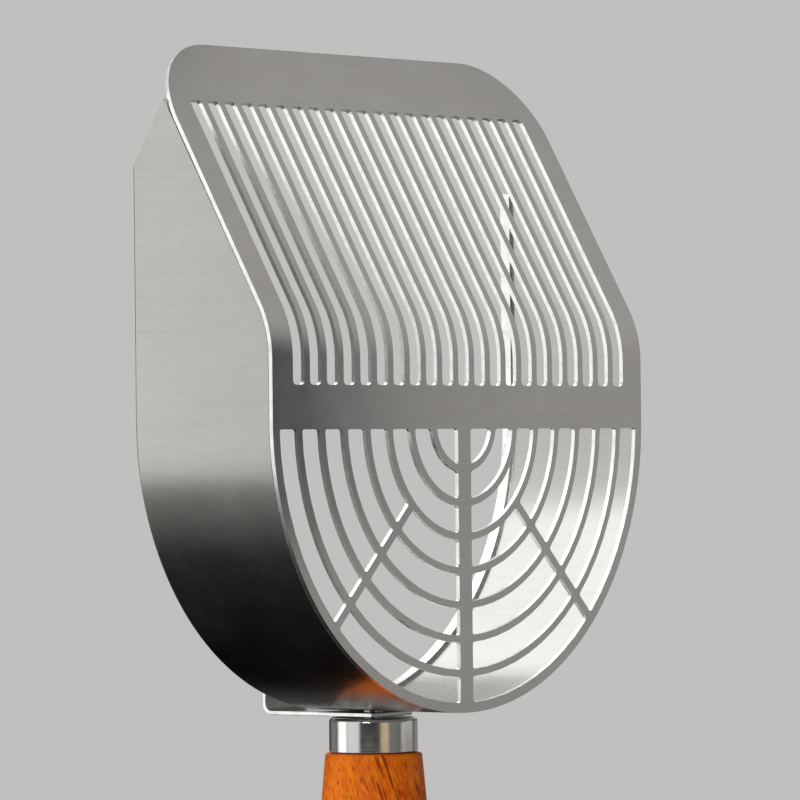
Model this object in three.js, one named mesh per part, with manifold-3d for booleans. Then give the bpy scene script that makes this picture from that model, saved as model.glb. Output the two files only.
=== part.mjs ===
// Beach sand scoop: a bent stainless grille closes the front of a U-shaped steel wall, and a
// turned wooden handle with a steel ferrule is screwed to the bottom of the U.
//
// Millimetres. +X runs across the scoop, +Y runs back through its open mouth, +Z runs up to the
// digging lip. The origin is the centre of the grille's arcs, on the grille's outer face.

import * as THREE from 'three';
import { mergeVertices } from 'three/addons/utils/BufferGeometryUtils.js';
import Module from 'manifold-3d';

const wasm = await Module();
wasm.setup();

// ---------------------------------------------------------------- driving dimensions

const plate = 1;                  // thickness of the grille
const sheet = 0.8;                // thickness of the wall and the ferrule
const gap = 0.3;                  // clearance left between touching pieces
const toolReach = 4;              // how far cutting tools stick out of thin material

const bowl = {
  radius: 65,                     // outside of the U
  depth: 40.1,                    // front face of the grille to the rear rim
  hemWidth: 2.8,                  // strip of the rear rim that is folded inwards
  cheekTop: 59.2,                 // how far up the slope the side walls reach
  rearCorner: 56.1,               // height where each rear rim turns in to the cheek's top
  hemTop: 54.1,                   // height where the folded strip stops
};

const bend = {
  height: 20.4,                   // where the vertical face and the slope would meet
  angle: THREE.MathUtils.degToRad(30),
  radius: 24,                     // outside radius of the rolled bend
};

const lip = { top: 73.5, cornerRadius: 20.5 };          // top is measured up the slope

const web = {                     // the half-round lower window
  bandBottom: -1.6,               // the solid band across the grille
  bandTop: 8.05,
  firstBar: 10.5,                 // radius of the smallest arc
  barPitch: 7.61,
  barCount: 7,
  barWidth: 1.6,
  rimWidth: 2.2,
  centreRib: 4.4,
  diagonalRib: 1.9,
  diagonalFrom: 2,                // cells inside this arc are not split by the diagonals
  cornerRadius: 0.7,
  arcStep: THREE.MathUtils.degToRad(5.5),   // turn between the points of an arc
};

const slots = {                   // the straight openings above the band
  count: 21,
  pitch: 5.63,
  width: 3.8,
  top: 58.4,                      // measured up the slope
  cornerRadius: 1.1,
  bendOverlap: 4,                 // the lower and upper half of a slot both reach past the bend
};

const hook = {                    // L-shaped strip between the wall and the ferrule
  width: 14.3,
  thickness: 0.9,
  front: 22,
  rear: 54.5,
  height: 17,
  bendRadius: 2.6,
  cornerRadius: 3,
};

const handle = {
  offset: 27.5,                   // handle axis behind the grille
  length: 130,
  topRadius: 11.05,
  shoulderRadius: 12.3,           // what the side aims at on its way from the belly to the top
  bellyRadius: 13.9,
  bellyDrop: 50,                  // widest place, below the top
  neckRadius: 12.2,
  neckRise: 36,                   // narrowest place, above the end
  endRadius: 13,
  endRound: 5,
  topEdge: 0.8,
};

const ferrule = { radius: 10, height: 7.7, shoulder: 1 };

const screw = {
  shank: 2.45,
  hole: 2.8,
  length: 22,
  tipChamfer: 0.6,
  headRadius: 4.75,
  headHeight: 3,
  headEdge: 1.2,                  // straight part of the head's side
  crossLength: 2.6,               // half length and half width of the arms of the cross recess
  crossWidth: 0.5,
  crossDepth: 1.4,
};

const washer = { flatRadius: 5.5, flatThickness: 1, springRadius: 4.5, springThickness: 1.2 };

const bail = {                    // wire hanging loop in the end of the handle
  wire: 1.25,
  halfWidth: 17,
  length: 36,
  cornerRadius: 3,
  innerEnd: 4,
  holeInset: 13,                  // cross-hole above the end of the handle
};

const sleeve = { inner: 1.6, outer: 2.4, flange: 4.2, flangeThickness: 0.8, seat: 11.6 };

// ---------------------------------------------------------------- heights of the stacked pieces

const hookTop = -bowl.radius - gap;
const hookBottom = hookTop - hook.thickness;
const ferruleTop = hookBottom - gap;
const ferruleBottom = ferruleTop - ferrule.height;
const gripTop = ferruleBottom - gap;
const gripBottom = gripTop - handle.length;
const tenonTop = ferruleTop - sheet - gap;
const tenonRadius = ferrule.radius - sheet - gap;
const washerBottom = -bowl.radius + sheet + 2 * gap;
const washerTop = washerBottom + washer.flatThickness;
const springWasherBottom = washerTop + gap;
const springWasherTop = springWasherBottom + washer.springThickness;
const pivotHeight = gripBottom + bail.holeInset;

const roundingSteps = 3;          // straight pieces in each small rounded corner

// ---------------------------------------------------------------- materials

const metal = (color, roughness) => new THREE.MeshStandardMaterial({ color, roughness, metalness: 1 });

const materials = {
  grille: metal(0x8f8a84, 0.34),
  wall: metal(0xb4b1ac, 0.3),
  strip: metal(0xbab6b0, 0.28),
  polished: metal(0xc9c6c1, 0.12),
  fastener: metal(0xa8a8aa, 0.3),
  brass: metal(0xb08d4a, 0.4),
  wood: new THREE.MeshStandardMaterial({ color: 0xbb5a14, roughness: 0.42, metalness: 0 }),
};

// ---------------------------------------------------------------- solid helpers

function toSolid(geometry) {
  const bare = geometry.index ? geometry.clone() : geometry;
  bare.deleteAttribute('normal');
  bare.deleteAttribute('uv');
  const merged = mergeVertices(bare, 1e-4);
  const mesh = new wasm.Mesh({
    numProp: 3,
    vertProperties: new Float32Array(merged.attributes.position.array),
    triVerts: new Uint32Array(merged.index.array),
  });
  return new wasm.Manifold(mesh);
}

function toGeometry(solid) {
  const mesh = solid.getMesh();
  const geometry = new THREE.BufferGeometry();
  geometry.setAttribute('position', new THREE.BufferAttribute(mesh.vertProperties, 3));
  geometry.setIndex(new THREE.BufferAttribute(mesh.triVerts, 1));
  geometry.computeVertexNormals();
  return geometry;
}

const join = (...geometries) => toGeometry(geometries.map(toSolid).reduce((a, b) => a.add(b)));
const cut = (geometry, ...tools) => toGeometry(
  tools.map(toSolid).reduce((solid, tool) => solid.subtract(tool), toSolid(geometry)));
const common = (a, b) => toGeometry(toSolid(a).intersect(toSolid(b)));

// Drawing planes: x and y of a shape run along the first two axes, and it is extruded along the
// third, which points out of the scoop on the front face and on the slope.
const frontPlane = new THREE.Matrix4().makeBasis(
  new THREE.Vector3(1, 0, 0), new THREE.Vector3(0, 0, 1), new THREE.Vector3(0, -1, 0));
const sidePlane = new THREE.Matrix4().makeBasis(
  new THREE.Vector3(0, 1, 0), new THREE.Vector3(0, 0, 1), new THREE.Vector3(1, 0, 0));
const slopePlane = new THREE.Matrix4().makeTranslation(0, 0, bend.height).multiply(
  new THREE.Matrix4().makeRotationX(Math.PI / 2 - bend.angle));

function extrude(shape, plane, from, to, curveSegments = 48) {
  const settings = { depth: to - from, bevelEnabled: false, curveSegments };
  const geometry = new THREE.ExtrudeGeometry(shape, settings);
  return geometry.translate(0, 0, from).applyMatrix4(plane);
}

// A solid of revolution about +Z from an anticlockwise outline of (radius, height) points.
function turn(outline, segments = 48) {
  const points = outline.map(([radius, height]) => new THREE.Vector2(radius, height));
  return new THREE.LatheGeometry(points, segments).rotateX(Math.PI / 2);
}

function rod(radius, bottom, top, segments = 32) {
  return turn([[0, bottom], [radius, bottom], [radius, top], [0, top]], segments);
}

function tube(inner, outer, bottom, top, segments = 48) {
  const outline = [[inner, bottom], [outer, bottom], [outer, top], [inner, top], [inner, bottom]];
  return turn(outline, segments);
}

// A closed shape through the points, with every sharp corner rounded.
function roundedShape(points, radius) {
  const shape = new THREE.Shape();
  points.forEach((corner, i) => {
    const before = points.at(i - 1).clone().sub(corner);
    const after = points[(i + 1) % points.length].clone().sub(corner);
    const isSharp = Math.abs(Math.PI - before.angleTo(after)) > Math.PI / 6;
    const start = isSharp ? corner.clone().add(before.setLength(radius)) : corner;
    if (i === 0) shape.moveTo(start.x, start.y);
    else shape.lineTo(start.x, start.y);
    if (!isSharp) return;
    const end = corner.clone().add(after.setLength(radius));
    shape.quadraticCurveTo(corner.x, corner.y, end.x, end.y);
  });
  return shape;
}

function rectangle(left, bottom, right, top) {
  const corners = [[left, bottom], [right, bottom], [right, top], [left, top]];
  return corners.map(([x, y]) => new THREE.Vector2(x, y));
}

// ---------------------------------------------------------------- the bent sheet

// Side view (y, z) of a line that follows the grille, set back from its outer face.
function bentLine(setBack, bottom, slopeEnd) {
  const bendStart = bend.height - bend.radius * Math.tan(bend.angle / 2);
  const end = new THREE.Vector3(0, slopeEnd, -setBack).applyMatrix4(slopePlane);
  const line = new THREE.Path();
  line.moveTo(setBack, bottom);
  line.lineTo(setBack, bendStart);
  line.absarc(bend.radius, bendStart, bend.radius - setBack, Math.PI, Math.PI - bend.angle, true);
  line.lineTo(end.y, end.z);
  return line.getPoints(4);
}

// Front view of the U with straight sides.
function uOutline(radius, top) {
  const shape = new THREE.Shape();
  shape.moveTo(-radius, top);
  shape.lineTo(-radius, 0);
  shape.absarc(0, 0, radius, Math.PI, 2 * Math.PI, false);
  shape.lineTo(radius, top);
  return shape;
}

function uBand(outer, thickness, top, front, rear) {
  const ring = uOutline(outer, top);
  const inner = outer - thickness;
  ring.lineTo(inner, top);
  ring.lineTo(inner, 0);
  ring.absarc(0, 0, inner, 0, -Math.PI, true);
  ring.lineTo(-inner, top);
  return extrude(ring, frontPlane, -rear, -front);
}

// ---------------------------------------------------------------- grille plate

function polar(radius, angle) {
  return new THREE.Vector2(radius * Math.cos(angle), radius * Math.sin(angle));
}

// Points along an arc of the web between two rib edges. A rib edge is a line parallel to the ray
// at its angle and offset sideways from the centre.
function webArc(radius, from, to) {
  const start = from.angle + Math.asin(from.offset / radius);
  const end = to.angle + Math.asin(to.offset / radius);
  const steps = Math.ceil(Math.abs(end - start) / web.arcStep - 1e-6);
  return Array.from({ length: steps + 1 }, (_, i) => {
    const turned = steps ? i / steps : 0;
    return polar(radius, THREE.MathUtils.lerp(start, end, turned));
  });
}

// The openings of the half-round window, to the right (side 1) or left (-1) of the centre rib.
function webCells(side) {
  const bandEdge = { angle: 0, offset: web.bandBottom };
  const centreEdge = { angle: -Math.PI / 2, offset: web.centreRib / 2 };
  const diagonalUpper = { angle: -Math.PI / 4, offset: web.diagonalRib / 2 };
  const diagonalLower = { angle: -Math.PI / 4, offset: -web.diagonalRib / 2 };
  const cornerDistance = Math.hypot(web.bandBottom, web.centreRib / 2);
  const cells = [];
  const addCell = (inner, outer, from, to) => {
    const points = [...webArc(outer, from, to), ...webArc(inner, to, from)];
    const placed = points.map(({ x, y }) => new THREE.Vector2(side * x, y));
    const cell = roundedShape(placed, web.cornerRadius);
    cells.push(extrude(cell, frontPlane, -toolReach, toolReach, roundingSteps));
  };
  for (let ring = 0; ring <= web.barCount; ring += 1) {
    const bar = web.firstBar + web.barPitch * ring;
    const inner = ring === 0 ? cornerDistance : bar - web.barPitch + web.barWidth / 2;
    const outer = ring === web.barCount ? bowl.radius - web.rimWidth : bar - web.barWidth / 2;
    if (ring > web.diagonalFrom) {
      addCell(inner, outer, centreEdge, diagonalLower);
      addCell(inner, outer, diagonalUpper, bandEdge);
    } else {
      addCell(inner, outer, centreEdge, bandEdge);
    }
  }
  return cells;
}

function upperSlot(x) {
  const half = slots.width / 2;
  const past = slots.bendOverlap + slots.cornerRadius;
  const lower = roundedShape(
    rectangle(x - half, web.bandTop, x + half, bend.height + past), slots.cornerRadius);
  const upper = roundedShape(rectangle(x - half, -past, x + half, slots.top), slots.cornerRadius);
  return [
    extrude(lower, frontPlane, -2 * toolReach, plate, roundingSteps),
    extrude(upper, slopePlane, -toolReach, 2 * plate, roundingSteps),
  ];
}

function grillePlate() {
  const outerFace = bentLine(0, -bowl.radius, lip.top);
  const innerFace = bentLine(plate, -bowl.radius, lip.top).reverse();
  const bentSheet = extrude(
    new THREE.Shape([...outerFace, ...innerFace]), sidePlane, -bowl.radius - 1, bowl.radius + 1);
  const reach = 2 * bowl.radius;                        // clears the whole grille
  const front = extrude(uOutline(bowl.radius, reach), frontPlane, -reach, reach);
  const lipOutline = new THREE.Shape();
  const corner = lip.cornerRadius;
  lipOutline.moveTo(-bowl.radius, -reach);
  lipOutline.lineTo(bowl.radius, -reach);
  lipOutline.absarc(bowl.radius - corner, lip.top - corner, corner, 0, Math.PI / 2, false);
  lipOutline.absarc(corner - bowl.radius, lip.top - corner, corner, Math.PI / 2, Math.PI, false);
  const slope = extrude(lipOutline, slopePlane, -reach, reach, 16);
  const blank = common(common(bentSheet, front), slope);

  const middle = (slots.count - 1) / 2;
  const centres = Array.from({ length: slots.count }, (_, i) => (i - middle) * slots.pitch);
  return cut(blank, ...webCells(1), ...webCells(-1), ...centres.flatMap(upperSlot));
}

// ---------------------------------------------------------------- side wall and hook strip

function screwHole(radius) {
  return rod(radius, hookBottom - toolReach, -bowl.radius + toolReach).translate(0, handle.offset, 0);
}

function sideBand() {
  const front = bentLine(plate + gap, -bowl.radius - 1, bowl.cheekTop);
  const profile = new THREE.Shape([
    ...front,
    new THREE.Vector2(bowl.depth, bowl.rearCorner),
    new THREE.Vector2(bowl.depth, -bowl.radius - 1),
  ]);
  const sideView = extrude(profile, sidePlane, -bowl.radius - 1, bowl.radius + 1);
  const wall = common(uBand(bowl.radius, sheet, 2 * bowl.radius, 0, bowl.depth + 1), sideView);
  const hemFront = bowl.depth - bowl.hemWidth;          // starts inside the wall, so the two join
  const hem = uBand(bowl.radius - sheet / 2, 1.5 * sheet, bowl.hemTop, hemFront, bowl.depth);
  return cut(join(wall, hem), screwHole(screw.hole));
}

function rimHook() {
  const inner = hook.bendRadius - hook.thickness;
  const half = hook.width / 2;
  const top = hookBottom + hook.height;
  const centre = { y: hook.rear - hook.bendRadius, z: hookBottom + hook.bendRadius };
  const profile = new THREE.Shape();
  profile.moveTo(hook.front, hookBottom);
  profile.lineTo(centre.y, hookBottom);
  profile.absarc(centre.y, centre.z, hook.bendRadius, -Math.PI / 2, 0, false);
  profile.lineTo(hook.rear, top);
  profile.lineTo(hook.rear - hook.thickness, top);
  profile.absarc(centre.y, centre.z, inner, 0, -Math.PI / 2, true);
  profile.lineTo(hook.front, hookTop);
  const strip = extrude(profile, sidePlane, -half, half, 8);
  const flange = roundedShape(rectangle(-half, 2 * hookBottom, half, top), hook.cornerRadius);
  const flangeView = extrude(flange, frontPlane, -hook.rear - toolReach, -hook.front + toolReach, 6);
  return cut(common(strip, flangeView), screwHole(screw.hole));
}

// ---------------------------------------------------------------- fasteners

function fixingScrew() {
  const seat = springWasherTop + gap;
  const top = seat + screw.headHeight;
  const dome = new THREE.Path();
  dome.moveTo(0, seat - screw.length);
  dome.lineTo(screw.shank - screw.tipChamfer, seat - screw.length);
  dome.lineTo(screw.shank, seat - screw.length + screw.tipChamfer);
  dome.lineTo(screw.shank, seat);
  dome.lineTo(screw.headRadius, seat);
  dome.lineTo(screw.headRadius, seat + screw.headEdge);
  dome.quadraticCurveTo(screw.headRadius, top, 0, top);
  const body = turn(dome.getPoints(6).map((point) => [point.x, point.y]), 32);
  const level = new THREE.Matrix4();
  const arm = (x, y) => extrude(
    new THREE.Shape(rectangle(-x, -y, x, y)), level, top - screw.crossDepth, top + toolReach);
  return cut(body, arm(screw.crossLength, screw.crossWidth), arm(screw.crossWidth, screw.crossLength));
}

function flatWasher() {
  return tube(screw.hole, washer.flatRadius, washerBottom, washerTop);
}

// A spring washer: a ring of square wire with a slanted split.
function lockWasher() {
  const ring = tube(screw.hole, washer.springRadius, springWasherBottom, springWasherTop);
  const halfSplit = 0.4;
  const split = new THREE.Shape(rectangle(0, -halfSplit, 2 * washer.springRadius, halfSplit));
  const slant = new THREE.Matrix4().makeRotationX(THREE.MathUtils.degToRad(34));
  const cutter = extrude(split, slant, -toolReach, toolReach)
    .translate(0, 0, (springWasherBottom + springWasherTop) / 2);
  return cut(ring, cutter);
}

// Brass insert in the top of the wood, with coarse ridges outside.
const insert = { outer: 4, ridge: 0.5, pitch: 1.5, turns: 9, top: tenonTop - 0.6, boreDepth: 23 };

function threadedInsert() {
  const bottom = insert.top - insert.pitch * insert.turns;
  const outline = [[screw.hole, insert.top], [screw.hole, bottom]];
  for (let i = 0; i < insert.turns; i += 1) {
    const base = bottom + i * insert.pitch;
    outline.push([insert.outer - insert.ridge, base]);
    outline.push([insert.outer, base + insert.pitch / 2]);
  }
  outline.push([insert.outer - insert.ridge, insert.top], [screw.hole, insert.top]);
  return turn(outline, 32);
}

// ---------------------------------------------------------------- handle

function ferruleCup() {
  const { shoulder } = ferrule;
  const inner = ferrule.radius - sheet;
  const outline = new THREE.Path();
  outline.moveTo(inner, ferruleBottom);
  outline.lineTo(ferrule.radius, ferruleBottom);
  outline.lineTo(ferrule.radius, ferruleTop - shoulder);
  outline.absarc(ferrule.radius - shoulder, ferruleTop - shoulder, shoulder, 0, Math.PI / 2, false);
  outline.lineTo(screw.hole, ferruleTop);
  outline.lineTo(screw.hole, ferruleTop - sheet);
  outline.lineTo(inner, ferruleTop - sheet);
  outline.lineTo(inner, ferruleBottom);
  return turn(outline.getPoints(3).map((point) => [point.x, point.y]), 56);
}

// Turned outline of the wood below its shoulder, from the rounded end up.
function gripOutline() {
  const { endRadius, endRound, neckRadius, bellyRadius, shoulderRadius, topRadius, topEdge } = handle;
  const neck = gripBottom + handle.neckRise;
  const belly = gripTop - handle.bellyDrop;
  const edge = gripTop - topEdge;
  const side = new THREE.Path();
  side.moveTo(0, gripBottom);
  side.lineTo(endRadius - endRound, gripBottom);
  side.absarc(endRadius - endRound, gripBottom + endRound, endRound, -Math.PI / 2, 0, false);
  side.bezierCurveTo(endRadius, neck - 16, neckRadius, neck - 22, neckRadius, neck);
  side.bezierCurveTo(neckRadius, neck + 20, bellyRadius, belly - 24, bellyRadius, belly);
  side.bezierCurveTo(bellyRadius, belly + 18, shoulderRadius, belly + 36, topRadius, edge);
  side.quadraticCurveTo(topRadius, gripTop, topRadius - topEdge, gripTop);
  side.lineTo(tenonRadius, gripTop);
  side.lineTo(tenonRadius, tenonTop);
  side.lineTo(0, tenonTop);
  return side.getPoints(7).map((point) => [point.x, point.y]);
}

function handleGrip() {
  const wood = turn(gripOutline(), 40);
  const outside = 2 * handle.bellyRadius;
  const insertBore = rod(insert.outer + gap, insert.top - insert.boreDepth, tenonTop + gap);
  const crossHole = rod(sleeve.outer + gap, -outside, outside, 24);
  const seatLeft = rod(sleeve.flange + gap, -outside, -sleeve.seat, 24);
  const seatRight = rod(sleeve.flange + gap, sleeve.seat, outside, 24);
  const crossCuts = [crossHole, seatLeft, seatRight].map((tool) => (
    tool.rotateY(Math.PI / 2).translate(0, 0, pivotHeight)));
  return cut(wood, insertBore, ...crossCuts);
}

// A flanged tube pushed into the right (side 1) or left (-1) end of the cross-hole.
function eyelet(side) {
  const flangeStart = sleeve.seat + gap;
  const flangeEnd = flangeStart + sleeve.flangeThickness;
  const outline = [
    [sleeve.inner, gap / 2],
    [sleeve.outer, gap / 2],
    [sleeve.outer, flangeStart],
    [sleeve.flange, flangeStart],
    [sleeve.flange, flangeEnd],
    [sleeve.inner, flangeEnd],
    [sleeve.inner, gap / 2],
  ];
  return turn(outline, 24).rotateY(side * Math.PI / 2).translate(0, 0, pivotHeight);
}

// ---------------------------------------------------------------- hanging bail

// Bent wire: its two ends turn in through the eyelets and its loop hangs below the handle.
function hangingBail() {
  const { halfWidth, cornerRadius, innerEnd } = bail;
  const straight = bail.length - halfWidth;
  const bendStart = halfWidth - cornerRadius;
  const route = new THREE.Path();
  route.moveTo(-innerEnd, 0);
  route.lineTo(-bendStart, 0);
  route.absarc(-bendStart, -cornerRadius, cornerRadius, Math.PI / 2, Math.PI, false);
  route.lineTo(-halfWidth, -straight);
  route.absarc(0, -straight, halfWidth, Math.PI, 2 * Math.PI, false);
  route.lineTo(halfWidth, -cornerRadius);
  route.absarc(bendStart, -cornerRadius, cornerRadius, 0, Math.PI / 2, false);
  route.lineTo(innerEnd, 0);

  const steps = 80;
  const points = route.getSpacedPoints(steps).map(
    ({ x, y }) => new THREE.Vector3(x, 0, y + pivotHeight));
  const section = new THREE.Shape().absarc(0, 0, bail.wire, 0, 2 * Math.PI, false);
  return new THREE.ExtrudeGeometry(
    section, { extrudePath: new THREE.CatmullRomCurve3(points), steps, curveSegments: 6 });
}

// ---------------------------------------------------------------- assembly

function piece(name, geometry, material, offset = 0) {
  const mesh = new THREE.Mesh(geometry, material);
  mesh.name = name;
  mesh.position.y = offset;
  return mesh;
}

const group = new THREE.Group();
group.name = 'beach_sand_scoop';
group.add(
  piece('grille_plate', grillePlate(), materials.grille),
  piece('side_band', sideBand(), materials.wall),
  piece('rim_hook', rimHook(), materials.strip),
  piece('fixing_screw', fixingScrew(), materials.fastener, handle.offset),
  piece('lock_washer', lockWasher(), materials.fastener, handle.offset),
  piece('flat_washer', flatWasher(), materials.fastener, handle.offset),
  piece('ferrule', ferruleCup(), materials.polished, handle.offset),
  piece('threaded_insert', threadedInsert(), materials.brass, handle.offset),
  piece('handle_grip', handleGrip(), materials.wood, handle.offset),
  piece('eyelet_right', eyelet(1), materials.brass, handle.offset),
  piece('eyelet_left', eyelet(-1), materials.brass, handle.offset),
  piece('hanging_bail', hangingBail(), materials.strip, handle.offset),
);

export default group;
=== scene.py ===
"""Looks of the beach sand scoop: a satin steel bowl and grille on a varnished wooden handle."""
import math

import bmesh
import bpy
from mathutils import Matrix, Vector
from mathutils.bvhtree import BVHTree


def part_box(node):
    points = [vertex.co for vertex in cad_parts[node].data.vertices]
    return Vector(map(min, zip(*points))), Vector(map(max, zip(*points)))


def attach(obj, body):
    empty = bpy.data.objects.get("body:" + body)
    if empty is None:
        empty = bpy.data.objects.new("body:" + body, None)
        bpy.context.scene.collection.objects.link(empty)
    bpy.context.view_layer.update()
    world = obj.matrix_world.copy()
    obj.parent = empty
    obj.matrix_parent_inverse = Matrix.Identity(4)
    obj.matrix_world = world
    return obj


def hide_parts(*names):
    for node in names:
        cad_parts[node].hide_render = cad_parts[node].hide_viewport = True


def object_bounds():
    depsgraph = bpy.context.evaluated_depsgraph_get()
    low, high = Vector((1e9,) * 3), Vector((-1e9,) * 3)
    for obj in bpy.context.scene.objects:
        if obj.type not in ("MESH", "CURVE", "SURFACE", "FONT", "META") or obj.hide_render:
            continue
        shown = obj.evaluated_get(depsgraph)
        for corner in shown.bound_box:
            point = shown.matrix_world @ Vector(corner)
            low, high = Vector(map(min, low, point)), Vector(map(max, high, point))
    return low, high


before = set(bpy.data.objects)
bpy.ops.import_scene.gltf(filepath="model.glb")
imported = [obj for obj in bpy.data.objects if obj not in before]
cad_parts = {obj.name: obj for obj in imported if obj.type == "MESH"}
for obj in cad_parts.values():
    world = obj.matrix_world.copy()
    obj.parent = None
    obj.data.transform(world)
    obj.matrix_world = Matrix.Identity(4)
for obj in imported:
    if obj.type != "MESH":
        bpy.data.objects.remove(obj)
cad_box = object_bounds()

MM = 0.001
SCOOP = "scoop"                                   # the rigid body; the wire loop is the other one
SAME_POINT = 0.002 * MM                           # vertices closer together than this are one
SAME_PLANE = math.radians(0.4)                    # faces turned less than this are one flat face

wall_low, wall_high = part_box("side_band")
RADIUS = wall_high.x                              # outside radius of the U
REAR = wall_high.y                                # rear rim of the wall

CAMERA = {
    "heading": math.radians(50.17),               # turned right from looking along +Y
    "pitch": math.radians(0.62),                  # turned up from level
    "roll": math.radians(-0.62),
    "distance": 1.2775,                           # from the point aimed at
    "lens": 257.42,                               # mm, on a 36 mm sensor
    "aim": Vector((-0.00919, 0.01094, 0.00497)),
}


# ---------------------------------------------------------------- node helpers

def add(tree, kind, inputs=None, **settings):
    """A node with its settings made and its inputs set or linked."""
    node = tree.nodes.new(kind)
    for name, value in settings.items():
        setattr(node, name, value)
    for socket, value in (inputs or {}).items():
        if isinstance(value, bpy.types.NodeSocket):
            tree.links.new(value, node.inputs[socket])
        else:
            node.inputs[socket].default_value = value
    return node


def new_material(name):
    """A new material, its node tree and its shader."""
    material = bpy.data.materials.new(name)
    material.use_nodes = True
    tree = material.node_tree
    return material, tree, tree.nodes["Principled BSDF"]


def link(tree, output, shader, socket):
    tree.links.new(output, shader.inputs[socket])


def place(tree, scale=(1, 1, 1), turn=None):
    """Object coordinates in metres, turned by an axis and angle if given, then scaled."""
    vector = add(tree, "ShaderNodeTexCoord").outputs["Object"]
    if turn:
        axis, angle = turn
        rotate = {"Vector": vector, "Axis": axis, "Angle": angle}
        vector = add(tree, "ShaderNodeVectorRotate", rotate, rotation_type="AXIS_ANGLE").outputs[0]
    return add(tree, "ShaderNodeMapping", {"Vector": vector, "Scale": scale}).outputs[0]


def noise(tree, vector, detail=3.0, roughness=0.55, distortion=0.0):
    """Noise with about as many marks in a metre as the vector's scale says."""
    inputs = {
        "Vector": vector,
        "Scale": 1.0,
        "Detail": detail,
        "Roughness": roughness,
        "Distortion": distortion,
    }
    return add(tree, "ShaderNodeTexNoise", inputs).outputs["Fac"]


def span(tree, value, low, high, from_low=0.0, from_high=1.0):
    """value, rescaled and kept between low and high."""
    inputs = {"Value": value, "From Min": from_low, "From Max": from_high, "To Min": low, "To Max": high}
    return add(tree, "ShaderNodeMapRange", inputs).outputs[0]


def blend_colours(tree, factor, first, second):
    """The first colour where the factor is 0, the second where it is 1."""
    return add(tree, "ShaderNodeMix", {0: factor, 6: first, 7: second}, data_type="RGBA").outputs[2]


def maths(tree, operation, first, second=0.0):
    return add(tree, "ShaderNodeMath", {0: first, 1: second}, operation=operation).outputs[0]


def bump(tree, height, distance, strength, under=None):
    """A bumped normal, on top of the one under it."""
    inputs = {"Height": height, "Distance": distance, "Strength": strength}
    if under:
        inputs["Normal"] = under
    return add(tree, "ShaderNodeBump", inputs).outputs[0]


# ---------------------------------------------------------------- metals

def stretched(axis, across, along):
    """Noise scale for marks that run along one axis (0, 1 or 2)."""
    return tuple(along if i == axis else across for i in range(3))


def satin_steel(name, dark, light, roughness, grain_axis):
    """Cold-rolled sheet: faint rolling grain, soft clouds from tumbling, and a few fine scratches."""
    material, tree, shader = new_material(name)
    grain = noise(tree, place(tree, stretched(grain_axis, 900, 60)), detail=4.0, roughness=0.65)
    clouds = noise(tree, place(tree, (60, 60, 60)), detail=4.0, roughness=0.6)
    frost = noise(tree, place(tree, (1400, 1400, 1400)), detail=2.0)
    tone = maths(tree, "ADD", maths(tree, "MULTIPLY", grain, 0.35), maths(tree, "MULTIPLY", clouds, 0.65))
    link(tree, blend_colours(tree, span(tree, tone, 0, 1, 0.35, 0.65), dark, light), shader, "Base Color")

    slant = ((0.5, 0.6, 0.62), math.radians(12))      # scratches run a little askew to the grain
    hairlines = noise(tree, place(tree, stretched(grain_axis, 2600, 30), slant), detail=1.0)
    scratches = span(tree, hairlines, 0, 0.02, 0.7, 0.78)
    wear = maths(tree, "ADD", span(tree, clouds, -0.02, 0.02, 0.35, 0.65), scratches)
    link(tree, maths(tree, "ADD", wear, roughness), shader, "Roughness")
    shallow = bump(tree, clouds, 0.006 * MM, 0.4)
    frosted = bump(tree, frost, 0.0012 * MM, 0.2, shallow)
    link(tree, bump(tree, grain, 0.0015 * MM, 0.5, frosted), shader, "Normal")
    shader.inputs["Metallic"].default_value = 1.0
    return material


def cut_steel(name, tint, across):
    """The punched and tumbled edge of a sheet: bright, with fine marks across its thickness."""
    material, tree, shader = new_material(name)
    marks = noise(tree, place(tree, across), detail=3.0, roughness=0.6)
    burr = noise(tree, place(tree, (500, 500, 500)), detail=3.0)
    dull = tuple(0.8 * part for part in tint[:3]) + (1,)
    link(tree, blend_colours(tree, span(tree, burr, 0, 1, 0.45, 0.75), tint, dull), shader, "Base Color")
    link(tree, span(tree, marks, 0.26, 0.34, 0.3, 0.7), shader, "Roughness")
    link(tree, bump(tree, marks, 0.001 * MM, 0.4), shader, "Normal")
    shader.inputs["Metallic"].default_value = 1.0
    return material


def polished_steel(name, tint, ring_scale):
    """Turned and polished steel: a mirror with faint rings round it and a few smudges."""
    material, tree, shader = new_material(name)
    rings = noise(tree, place(tree, ring_scale), detail=3.0)
    smudges = noise(tree, place(tree, (160, 160, 160)), detail=4.0)
    dull = (0.9 * tint[0], 0.88 * tint[1], 0.85 * tint[2], 1)
    link(tree, blend_colours(tree, span(tree, smudges, 0, 1, 0.45, 0.75), tint, dull), shader, "Base Color")
    haze = span(tree, smudges, 0.15, 0.22, 0.4, 0.75)
    ringed_haze = maths(tree, "ADD", haze, span(tree, rings, 0, 0.04, 0.3, 0.7))
    link(tree, ringed_haze, shader, "Roughness")
    link(tree, bump(tree, rings, 0.003 * MM, 0.5), shader, "Normal")
    shader.inputs["Metallic"].default_value = 1.0
    return material


def cast_brass(name):
    """Dull yellow brass with darker tarnish in blotches."""
    material, tree, shader = new_material(name)
    blotches = noise(tree, place(tree, (420, 420, 420)), detail=5.0)
    yellow, brown = (0.72, 0.52, 0.22, 1), (0.4, 0.27, 0.11, 1)
    tarnish = span(tree, blotches, 0, 1, 0.4, 0.7)
    link(tree, blend_colours(tree, tarnish, yellow, brown), shader, "Base Color")
    link(tree, span(tree, blotches, 0.2, 0.42, 0.3, 0.7), shader, "Roughness")
    link(tree, bump(tree, blotches, 0.01 * MM, 0.5), shader, "Normal")
    shader.inputs["Metallic"].default_value = 1.0
    return material


# ---------------------------------------------------------------- wood

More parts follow.
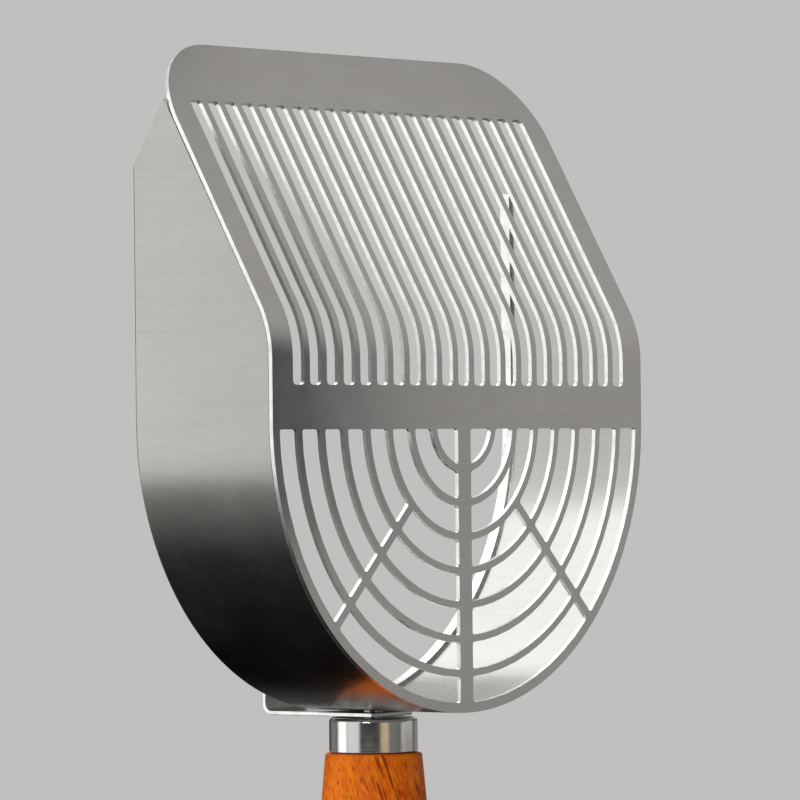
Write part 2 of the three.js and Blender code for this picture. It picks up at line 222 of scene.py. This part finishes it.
def varnished_wood(name):
    """Orange hardwood under varnish: slanting figure, bright fibres and short dark open pores."""
    material, tree, shader = new_material(name)
    slant = ((0.77, 0.64, 0.0), math.radians(20))     # the grain runs out at the side of the handle
    figure = noise(tree, place(tree, (170, 170, 45), slant), detail=5.0, roughness=0.6, distortion=0.5)
    mottle = noise(tree, place(tree, (900, 900, 600), slant), detail=3.0)
    fibres = noise(tree, place(tree, (1900, 1900, 210), slant), detail=3.0)
    streaks = noise(tree, place(tree, (1700, 1700, 130), slant), detail=1.0, roughness=0.4)
    clusters = noise(tree, place(tree, (190, 190, 45), slant), detail=2.0)

    orange, sienna = (0.8, 0.16, 0.002, 1), (0.56, 0.062, 0.001, 1)
    ground = blend_colours(tree, span(tree, figure, 0, 1, 0.38, 0.66), orange, sienna)
    mottled = blend_colours(tree, span(tree, mottle, 0, 0.5, 0.42, 0.7), ground, (0.86, 0.24, 0.006, 1))
    lit = blend_colours(tree, span(tree, fibres, 0, 0.45, 0.45, 0.75), mottled, (0.94, 0.37, 0.02, 1))
    pore_limit = span(tree, clusters, 0.66, 0.53, 0.3, 0.7)
    depth = maths(tree, "SUBTRACT", streaks, pore_limit)
    pores = span(tree, depth, 0, 0.85, 0.0, 0.09)
    link(tree, blend_colours(tree, pores, lit, (0.22, 0.024, 0.002, 1)), shader, "Base Color")
    link(tree, span(tree, fibres, 0.4, 0.55, 0.3, 0.7), shader, "Roughness")
    grooves = maths(tree, "SUBTRACT", maths(tree, "MULTIPLY", fibres, 0.25), pores)
    link(tree, bump(tree, grooves, 0.03 * MM, 0.5), shader, "Normal")
    shader.inputs["Coat Weight"].default_value = 0.05
    shader.inputs["Coat Roughness"].default_value = 0.22
    shader.inputs["Specular IOR Level"].default_value = 0.1
    return material


# ---------------------------------------------------------------- finishing the carried-over nodes

def smoothing_group(angle):
    """Geometry nodes that shade a mesh smooth and keep edges sharper than the angle."""
    group = bpy.data.node_groups.new("smooth_by_angle", "GeometryNodeTree")
    group.interface.new_socket("Geometry", in_out="INPUT", socket_type="NodeSocketGeometry")
    group.interface.new_socket("Geometry", in_out="OUTPUT", socket_type="NodeSocketGeometry")
    source = add(group, "NodeGroupInput").outputs[0]
    unsigned = add(group, "GeometryNodeInputMeshEdgeAngle").outputs["Unsigned Angle"]
    is_sharp = add(group, "FunctionNodeCompare", {0: unsigned, 1: angle}, operation="GREATER_THAN")
    all_faces = {"Geometry": source, "Shade Smooth": True}
    smooth = add(group, "GeometryNodeSetShadeSmooth", all_faces, domain="FACE")
    sharp_edges = {"Geometry": smooth.outputs[0], "Selection": is_sharp.outputs[0], "Shade Smooth": False}
    result = add(group, "GeometryNodeSetShadeSmooth", sharp_edges, domain="EDGE")
    add(group, "NodeGroupOutput", {0: result.outputs[0]})
    return group


SMOOTHING = smoothing_group(math.radians(28))


def paint(piece, material, cut_material=None, is_cut=None):
    """One material all over, and another on the faces that is_cut picks."""
    mesh = piece.data
    mesh.materials.clear()
    mesh.materials.append(material)
    if is_cut:
        mesh.materials.append(cut_material)
        for face in mesh.polygons:
            face.material_index = int(is_cut(face))


def merge_flats(piece):
    """Joins the triangles of each flat face of a CAD node into one face."""
    if "custom_normal" in piece.data.attributes:
        piece.data.attributes.remove(piece.data.attributes["custom_normal"])
    weld = piece.modifiers.new("weld", "WELD")
    weld.merge_threshold = SAME_POINT
    merge = piece.modifiers.new("merge_flats", "DECIMATE")
    merge.decimate_type = "DISSOLVE"
    merge.angle_limit = SAME_PLANE


def round_edges(piece, edge_radius, segments=2):
    """Small rounded edges and smooth shading."""
    bevel = piece.modifiers.new("edges", "BEVEL")
    bevel.width = edge_radius
    bevel.segments = segments
    bevel.limit_method = "ANGLE"
    bevel.angle_limit = math.radians(40)
    bevel.miter_outer = "MITER_ARC"
    smooth = piece.modifiers.new("smooth", "NODES")
    smooth.node_group = SMOOTHING
    normals = piece.modifiers.new("normals", "WEIGHTED_NORMAL")
    normals.keep_sharp = True


def close_gap(mesh, neighbour, reach, gap):
    """Brings the vertices that stand within reach of the neighbour up to it, but for the gap."""
    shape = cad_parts[neighbour].data
    surface = BVHTree.FromPolygons([v.co for v in shape.vertices], [p.vertices for p in shape.polygons])
    for vertex in mesh.verts:
        point, _, _, distance = surface.find_nearest(vertex.co, reach)
        if point and distance > gap:
            vertex.co = point + (vertex.co - point) * (gap / distance)


def round_rear_fold(mesh, radius):
    """Rounds the outer rear edge of the wall, where the sheet is folded over."""
    tolerance = 0.1 * MM

    def is_on_fold(vertex):
        reach = math.hypot(vertex.co.x, min(vertex.co.z, 0))
        return vertex.co.y > REAR - tolerance and reach > RADIUS - tolerance

    fold = [edge for edge in mesh.edges if all(is_on_fold(vertex) for vertex in edge.verts)]
    bmesh.ops.bevel(
        mesh, geom=fold, offset=radius, segments=4, profile=0.5, affect="EDGES", clamp_overlap=True)


def is_edge_or_hem(face):
    """Whether a face of the wall is a cut end of the sheet, or the part folded in at the rear."""
    past_inner_face = RADIUS - 1.2 * MM
    reach = math.hypot(face.center.x, min(face.center.z, 0))
    return abs(face.normal.y) > 0.85 or reach < past_inner_face


def side_wall(material, cut_material):
    """The wall with its rear fold rounded and its front edge brought up to the grille."""
    mesh = bmesh.new()
    mesh.from_mesh(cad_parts["side_band"].data)
    bmesh.ops.remove_doubles(mesh, verts=mesh.verts, dist=SAME_POINT)
    bmesh.ops.dissolve_limit(
        mesh, angle_limit=SAME_PLANE, verts=mesh.verts, edges=mesh.edges, delimit={"NORMAL"})
    round_rear_fold(mesh, 0.7 * MM)
    close_gap(mesh, "grille_plate", 0.35 * MM, 0.08 * MM)
    bmesh.ops.triangulate(mesh, faces=[face for face in mesh.faces if len(face.verts) > 4])
    data = bpy.data.meshes.new("side_wall")
    mesh.to_mesh(data)
    mesh.free()
    wall = bpy.data.objects.new("side_wall", data)
    bpy.context.scene.collection.objects.link(wall)
    paint(wall, material, cut_material, is_edge_or_hem)
    round_edges(wall, 0.12 * MM)
    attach(wall, SCOOP)
    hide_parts("side_band")


def grille(material, cut_material):
    """The bent sheet; its cut faces point well away from where its two slopes face on average."""
    half_bend = math.radians(15)
    sheet_normal = Vector((0, -math.cos(half_bend), math.sin(half_bend)))
    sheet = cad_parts["grille_plate"]
    paint(sheet, material, cut_material, lambda face: abs(face.normal.dot(sheet_normal)) < 0.6)
    merge_flats(sheet)
    round_edges(sheet, 0.1 * MM)


def hook(material, cut_material):
    """The L-shaped strip; its cut long sides face along X."""
    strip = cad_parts["rim_hook"]
    paint(strip, material, cut_material, lambda face: abs(face.normal.x) > 0.7)
    merge_flats(strip)
    round_edges(strip, 0.16 * MM)


def sheet_parts():
    """The grille, the wall and the hook: rolled faces and bright cut edges."""
    plate = satin_steel("grille_steel", (0.47, 0.46, 0.45, 1), (0.54, 0.53, 0.518, 1), 0.17, 0)
    wall = satin_steel("wall_steel", (0.42, 0.417, 0.395, 1), (0.48, 0.477, 0.452, 1), 0.27, 1)
    strip = satin_steel("strip_steel", (0.46, 0.45, 0.42, 1), (0.54, 0.53, 0.5, 1), 0.32, 1)
    cut = cut_steel("cut_steel", (0.93, 0.92, 0.9, 1), (2200, 200, 2200))
    grille(plate, cut)
    hook(strip, cut)
    side_wall(wall, cut)


def turned_and_small_parts():
    """The handle with its ferrule, the screw and what goes with it, and the loop in its eyelets."""
    wire = satin_steel("wire_steel", (0.6, 0.59, 0.56, 1), (0.7, 0.69, 0.66, 1), 0.18, 2)
    fastener = polished_steel("fastener_steel", (0.66, 0.66, 0.67, 1), (300, 300, 300))
    chrome = polished_steel("polished_steel", (0.84, 0.83, 0.81, 1), (30, 30, 2600))
    brass = cast_brass("brass")
    wood = varnished_wood("varnished_wood")

    looks = {                                     # node: material, edge radius in mm, segments of it
        "ferrule": (chrome, 0.15, 3),
        "handle_grip": (wood, 0.3, 3),
        "hanging_bail": (wire, 0.1, 2),
        "fixing_screw": (fastener, 0.12, 2),
        "lock_washer": (fastener, 0.12, 2),
        "flat_washer": (fastener, 0.12, 2),
        "eyelet_left": (brass, 0.1, 2),
        "eyelet_right": (brass, 0.1, 2),
        "threaded_insert": (brass, 0.1, 2),
    }
    for name, (material, edge_radius, segments) in looks.items():
        paint(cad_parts[name], material)
        merge_flats(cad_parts[name])
        round_edges(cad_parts[name], edge_radius * MM, segments)


# ---------------------------------------------------------------- floor, light and camera

def pale_floor():
    """A pale floor just below the scoop that thins out to the background around it."""
    half_side = 2.5
    thins_from, thins_to = 0.35, 0.88             # distances from the middle
    level = cad_box[0].z - 0.5 * MM
    corners = [(x * half_side, y * half_side, level) for x, y in ((-1, -1), (1, -1), (1, 1), (-1, 1))]
    mesh = bpy.data.meshes.new("floor")
    mesh.from_pydata(corners, [], [(0, 1, 2, 3)])
    floor = bpy.data.objects.new("floor", mesh)
    bpy.context.scene.collection.objects.link(floor)

    material, tree, shader = new_material("pale_floor")
    mottle = noise(tree, place(tree, (9, 9, 9)), detail=5.0)
    pale, paler = (0.74, 0.73, 0.72, 1), (0.8, 0.795, 0.785, 1)
    link(tree, blend_colours(tree, mottle, pale, paler), shader, "Base Color")
    shader.inputs["Roughness"].default_value = 0.9
    distance = add(tree, "ShaderNodeVectorMath", {0: place(tree)}, operation="LENGTH").outputs["Value"]
    clear = add(tree, "ShaderNodeBsdfTransparent").outputs[0]
    fade = span(tree, distance, 0, 1, thins_from, thins_to)
    mixed = add(tree, "ShaderNodeMixShader", {0: fade, 1: shader.outputs[0], 2: clear})
    tree.links.new(mixed.outputs[0], tree.nodes["Material Output"].inputs["Surface"])
    mesh.materials.append(material)
    floor.visible_glossy = False


def unit_vector(azimuth, elevation):
    """Direction at an azimuth anticlockwise from +X and an elevation above the horizon, in degrees."""
    turn, rise = math.radians(azimuth), math.radians(elevation)
    return Vector((math.cos(rise) * math.cos(turn), math.cos(rise) * math.sin(turn), math.sin(rise)))


def softbox(name, azimuth, elevation, distance, width, height, radiance, colour=(1, 1, 1)):
    """A rectangular light of even brightness, unseen by the camera, that faces the scoop."""
    aim = Vector((0, 0.02, -0.01))
    direction = unit_vector(azimuth, elevation)
    light = bpy.data.lights.new(name, "AREA")
    light.shape = "RECTANGLE"
    light.size = width
    light.size_y = height
    light.energy = radiance * math.pi * width * height
    light.color = colour
    lamp = bpy.data.objects.new(name, light)
    lamp.location = aim + direction * distance
    lamp.rotation_mode = "QUATERNION"
    lamp.rotation_quaternion = (-direction).to_track_quat("-Z", "Y")
    lamp.visible_camera = False
    bpy.context.scene.collection.objects.link(lamp)


def studio_light():
    # name, azimuth, elevation, distance, width, height (degrees and metres), radiance, colour
    softbox("back_left_card", 130, 9, 0.9, 0.5, 0.82, 1.14)
    softbox("left_card", 166, 8, 0.9, 0.56, 0.82, 0.7)
    softbox("high_back_card", 100, 48, 0.95, 1.4, 0.5, 2.0)
    softbox("back_right_card", 40, 19, 0.9, 0.6, 0.5, 0.65)
    softbox("right_card", 330, 20, 0.45, 0.26, 0.54, 0.47, (1, 0.98, 0.96))
    softbox("low_right_card", 306, -9, 0.45, 0.14, 0.1, 0.44, (1, 0.97, 0.93))
    softbox("warm_card", 249, 0, 1.1, 0.42, 0.5, 0.55, (1, 0.78, 0.5))       # tan band on the ferrule
    softbox("key", 203, 25, 1.4, 0.42, 0.42, 18)
    softbox("top_card", 300, 75, 1.2, 1.0, 0.8, 0.5)


def glow(tree, direction, azimuth, elevation, inner, outer, radiance):
    """A round patch of the surroundings, bright up to the inner angle and gone at the outer one."""
    centre = unit_vector(azimuth, elevation)
    closeness = add(tree, "ShaderNodeVectorMath", {0: direction, 1: centre}, operation="DOT_PRODUCT")
    edges = math.cos(math.radians(outer)), math.cos(math.radians(inner))
    return span(tree, closeness.outputs["Value"], 0, radiance, *edges)


def studio_world():
    """A dim room for reflections, with soft patches for the faces that the cards do not reach.

    The floor's share of the room is left dark along the stretch that the wall mirrors to the camera:
    the wall has no face that tilts along Y, so all of it mirrors directions with one same Y part.
    """
    world = bpy.data.worlds.new("studio")
    world.use_nodes = True
    tree = world.node_tree
    direction = add(tree, "ShaderNodeTexCoord").outputs["Generated"]
    parts = add(tree, "ShaderNodeSeparateXYZ", {0: direction})
    height, depth = parts.outputs["Z"], parts.outputs["Y"]

    mirrored = math.cos(CAMERA["heading"])
    off_stretch = maths(tree, "ABSOLUTE", maths(tree, "SUBTRACT", depth, mirrored))
    beside_stretch = span(tree, off_stretch, 0, 1, 0.2, 0.36)
    room = span(tree, height, 0, 0.14, -0.15, 0.4)
    floor = maths(tree, "MULTIPLY", span(tree, height, 0.34, 0, -0.28, -0.1), beside_stretch)
    glows = [
        glow(tree, direction, 136, -15, 6, 24, 0.3),        # fades down the curve of the left wall
        glow(tree, direction, 90, -16, 8, 28, 0.28),        # back of the grille and of the hook
        glow(tree, direction, 10, -12, 8, 24, 0.35),        # right wall
        glow(tree, direction, 276, -8, 8, 26, 0.18),        # front of the grille
        glow(tree, direction, 45, -20, 3, 15, 0.1),         # the hook, seen from behind
    ]
    total = maths(tree, "ADD", room, floor)
    for patch in glows:
        total = maths(tree, "ADD", total, patch)
    surroundings = add(tree, "ShaderNodeBackground", {"Strength": total}).outputs[0]
    backdrop = add(tree, "ShaderNodeBackground", {"Color": (0.53, 0.525, 0.515, 1)}).outputs[0]
    seen = add(tree, "ShaderNodeLightPath").outputs["Is Camera Ray"]
    mixed = add(tree, "ShaderNodeMixShader", {0: seen, 1: surroundings, 2: backdrop})
    output = next(node for node in tree.nodes if node.type == "OUTPUT_WORLD")
    tree.links.new(mixed.outputs[0], output.inputs["Surface"])
    bpy.context.scene.world = world
    bpy.context.scene.view_settings.view_transform = "Standard"


def studio_camera():
    data = bpy.data.cameras.new("camera")
    data.lens = CAMERA["lens"]
    data.clip_start = 0.05
    data.clip_end = 50
    heading = Matrix.Rotation(-CAMERA["heading"], 4, "Z")
    pitch = Matrix.Rotation(math.pi / 2 + CAMERA["pitch"], 4, "X")
    roll = Matrix.Rotation(CAMERA["roll"], 4, "Z")
    pose = heading @ pitch @ roll
    forward = pose @ Vector((0, 0, -1))
    camera = bpy.data.objects.new("camera", data)
    camera.matrix_world = Matrix.Translation(CAMERA["aim"] - forward * CAMERA["distance"]) @ pose
    bpy.context.scene.collection.objects.link(camera)
    bpy.context.scene.camera = camera


sheet_parts()
turned_and_small_parts()
pale_floor()
studio_light()
studio_world()
studio_camera()
